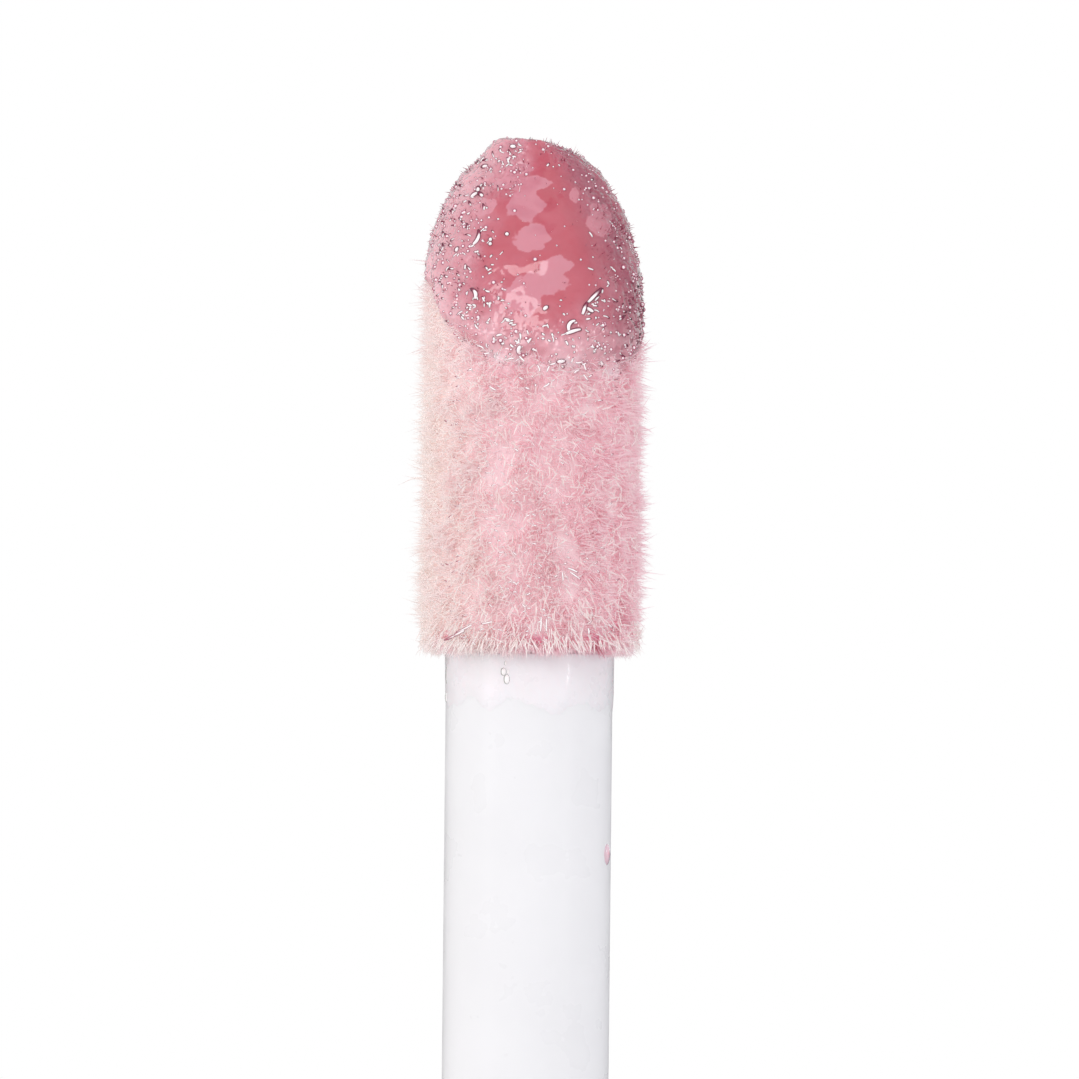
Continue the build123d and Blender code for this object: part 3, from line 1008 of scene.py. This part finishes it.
def bottle_gloss():
    """The gloss, which wets the wall, climbs it a little and dips where the wand came out."""
    low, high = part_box("gloss_fill")
    tree = surface_tree(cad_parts["gloss_fill"].data)
    into_wall = 0.03 * MM
    out = round_axis(turns(160))
    rings = []
    sides = np.r_[np.linspace(0.0, 0.06, 24)[1:], np.linspace(0.07, 0.97, 60)]
    for share in sides:
        level = low.z + (high.z - low.z) * share
        hit = tree.ray_cast(Vector((FAR, 0, level)), Vector((-1, 0, 0)))[0]
        rings.append(out * (hit.x + into_wall) + UP * level)
    for share in np.linspace(0, 1, 40)[:-1]:
        radius = (high.x + into_wall) * (1 - share)
        ring = out * radius
        climb = 0.9 * MM * np.exp(-(high.x - radius) / (0.5 * MM))
        dip = -1.6 * MM * np.exp(-((radius / (2.2 * MM)) ** 2))
        lump = 0.25 * MM * waves(ring, 2.5 * MM, 2, 90) * min(1, share * 5)
        rings.append(ring + UP * (high.z + climb + dip + lump)[:, None])
    pink = gloss("bottle_gloss", srgb(234, 132, 152), srgb(242, 150, 168), 0.5, 0.06)
    ob = new_object("gloss_in_bottle", *closed_grid(np.array(rings), UP * low.z), pink)
    finish_piece(ob, "bottle", "lip_gloss", "gloss_fill")


def ring_clear_of_bottle(name, node, slot, material):
    """A ring-shaped node drawn a hair thinner all round."""
    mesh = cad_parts[node].data
    low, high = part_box(node)
    middle = (low.z + high.z) / 2
    vertices = np.array([v.co[:] for v in mesh.vertices])
    radius = np.hypot(vertices[:, 0], vertices[:, 1])
    inner = radius < (radius.min() + radius.max()) / 2
    vertices[:, :2] *= (1 + np.where(inner, HAIR_GAP, -HAIR_GAP) / radius)[:, None]
    vertices[:, 2] = middle + (vertices[:, 2] - middle) * (1 - 2 * HAIR_GAP / (high.z - low.z))
    mesh.calc_loop_triangles()
    faces = np.array([t.vertices[:] for t in mesh.loop_triangles])
    finish_piece(new_object(name, vertices, [faces], material, False), "bottle", slot, node)


def bottle_rings():
    plastic = moulded("wiper_plastic", srgb(226, 229, 232), srgb(238, 240, 242), 0.42)
    ring_clear_of_bottle("wiper_insert", "wiper", "wiper_plastic", plastic)
    ring_clear_of_bottle("trim_collar", "collar", "metallised_collar", collar_metal())


def sticker():
    """The shade label, a hair short of the recess all round, with a rounded rim."""
    low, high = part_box("base_label")
    out = round_axis(turns(120))
    rim = high.x - HAIR_GAP
    top = high.z - HAIR_GAP
    sides = [(rim * share, low.z) for share in (0.3, 0.6, 0.9, 0.98)]
    sides += [(rim, low.z + 0.2 * (high.z - low.z)), (rim, top - HAIR_GAP)]
    sides += [(rim * share, top) for share in (0.98, 0.9, 0.6, 0.3)]
    rings = np.array([out * radius + UP * level for radius, level in sides])
    ob = new_object("shade_label", *closed_grid(rings), label(), False)
    finish_piece(ob, "bottle", "label_film", "base_label")


# --- CAD nodes that keep their shape ---------------------------------


def dress_cad_nodes():
    white = (srgb(234, 232, 234), srgb(237, 235, 237))
    looks = {
        "bottle": clear_plastic(),
        "seal_washer": foam(),
        "cap_shell": moulded("cap_plastic", *white, 0.14, 1.2, Coat_Weight=0.4),
        "cap_liner": moulded("liner_plastic", srgb(236, 237, 240), srgb(244, 245, 247), 0.4),
        "stem": stem_plastic(),
        "applicator_core": moulded("core_plastic", srgb(244, 240, 240), srgb(250, 247, 247), 0.5),
    }
    for name, material in looks.items():
        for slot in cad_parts[name].material_slots:
            slot.material = material


# --- Floor, light and camera -----------------------------------------


def floor():
    """A pale round floor that fades into the white ground far out."""
    radius = 2.2
    m = Nodes("floor_paint")
    away = m.add("ShaderNodeVectorMath", operation="LENGTH")
    m.link(m.place, away.inputs[0])
    m.colour(m.ramp(m.noise(60.0), (0.3, srgb(240, 240, 241)), (0.7, srgb(243, 243, 244))))
    m.set(Roughness=0.6)
    fade = m.span(away.outputs["Value"], 0, 1, 150, 900)
    m.link(fade, m.mix_in(m.add("ShaderNodeEmission")))
    corners = 96
    circle = radius * round_axis(turns(corners))
    ob = new_object("floor", circle, [np.arange(corners)[None]], m.material, False)
    return ob


def studio_world():
    """White to the camera; for light, a soft room that is brighter on the camera's side."""
    world = bpy.data.worlds.new("studio")
    bpy.context.scene.world = world
    world.use_nodes = True
    tree = world.node_tree
    tree.nodes.clear()

    def connect(socket, value):
        if isinstance(value, bpy.types.NodeSocket):
            tree.links.new(value, socket)
        else:
            socket.default_value = value

    def node(kind, inputs, output=0, **settings):
        """A node with these settings and inputs, as its output socket."""
        made = tree.nodes.new(kind)
        for key, value in settings.items():
            setattr(made, key, value)
        for key, value in inputs.items():
            connect(made.inputs[key], value)
        return made.outputs[output]

    def spread(socket, low, high):
        """low where the direction's part is -1, high where it is 1."""
        ends = {"Value": socket, "From Min": -1, "From Max": 1, "To Min": low, "To Max": high}
        return node("ShaderNodeMapRange", ends, interpolation_type="SMOOTHSTEP")

    def background(colour, strength):
        return node("ShaderNodeBackground", {"Color": colour, "Strength": strength})

    direction = node("ShaderNodeTexCoord", {}, "Generated")
    parts = tree.nodes.new("ShaderNodeSeparateXYZ")
    connect(parts.inputs[0], direction)
    x, y = parts.outputs["X"], parts.outputs["Y"]
    path = tree.nodes.new("ShaderNodeLightPath").outputs
    tints = {0: spread(x, 0, 1), 6: (0.965, 0.965, 1.0, 1), 7: (1.0, 0.975, 0.945, 1)}
    warm = node("ShaderNodeMix", tints, 2, data_type="RGBA")
    sides = {0: spread(y, 0.85, 1.0), 1: spread(x, 0.94, 1.06)}
    room = background(warm, node("ShaderNodeMath", sides, operation="MULTIPLY"))
    reflected = background((1, 1, 1, 1), spread(y, 0.60, 0.10))
    backdrop = background((1, 1, 1, 1), 1.0)
    depth = {0: path["Transmission Depth"], 1: 0.5}
    outside = node("ShaderNodeMath", depth, operation="LESS_THAN")
    shiny = {0: path["Is Glossy Ray"], 1: outside}
    mirrored = node("ShaderNodeMath", shiny, operation="MULTIPLY")
    lit = node("ShaderNodeMixShader", {0: mirrored, 1: room, 2: reflected})
    seen = node("ShaderNodeMixShader", {0: path["Is Camera Ray"], 1: lit, 2: backdrop})
    node_out = tree.nodes.new("ShaderNodeOutputWorld")
    connect(node_out.inputs["Surface"], seen)


def soft_box(name, offset, width, height, power):
    """An area light at an offset from the middle of the applicator, turned towards it."""
    light = bpy.data.lights.new(name, "AREA")
    light.shape = "RECTANGLE"
    light.size = width
    light.size_y = height
    light.energy = power
    ob = bpy.data.objects.new(name, light)
    bpy.context.scene.collection.objects.link(ob)
    target = Vector((0, 0, (TIP_Z + SHOULDER_Z) / 2))
    ob.location = target + Vector(offset)
    ob.rotation_euler = (-Vector(offset)).to_track_quat("-Z", "Y").to_euler()
    return ob


def lights(ground):
    """A soft box over the slanted face and a strip at each side, all kept off the floor."""
    shade = bpy.data.collections.new("kept_dark")
    shade.objects.link(ground)
    shade.collection_objects[0].light_linking.link_state = "EXCLUDE"
    for box in (
        soft_box("over", (0.010, -0.066, -0.056), 0.040, 0.050, 0.016),
        soft_box("strip_left", (0.20, -0.13, -0.06), 0.015, 0.12, 0.09),
        soft_box("strip_right", (-0.20, -0.14, -0.05), 0.012, 0.12, 0.05),
    ):
        box.light_linking.receiver_collection = shade


def camera():
    """Level with the applicator and far off, rolled half a turn so that the tip points up."""
    distance = 0.32
    frame_height = 29.08 * MM
    tip_margin = 3.69 * MM
    axis_offset = 0.235 * MM
    lean = math.radians(0.59)
    data = bpy.data.cameras.new("camera")
    data.sensor_width = 36
    data.lens = data.sensor_width * distance / frame_height
    data.clip_start = 0.02
    data.clip_end = 20
    ob = bpy.data.objects.new("camera", data)
    bpy.context.scene.collection.objects.link(ob)
    ob.location = (-axis_offset, -distance, TIP_Z - tip_margin + frame_height / 2)
    level = Euler((math.radians(90), 0, 0)).to_matrix()
    ob.rotation_euler = (level @ Matrix.Rotation(math.pi + lean, 3, "Z")).to_euler()
    bpy.context.scene.camera = ob


def main():
    rings = applicator_rings(rises_for(150, FLOCK_LENGTH, 1.6), 150)
    normals = ring_normals(rings)
    build_flock(rings, normals)
    film, film_rings, film_normals = gloss_film()
    film_ridges(film)
    flock_clumps()
    gloss_beads(film_rings, film_normals)
    stem_film()
    stem_drops()
    bottle_gloss()
    sticker()
    bottle_rings()
    dress_cad_nodes()
    ground = floor()
    studio_world()
    lights(ground)
    camera()
    scene = bpy.context.scene
    scene.view_settings.view_transform = "Standard"
    scene.cycles.max_bounces = 64
    scene.cycles.diffuse_bounces = 48
    scene.cycles.glossy_bounces = 32
    scene.cycles.transmission_bounces = 32


main()
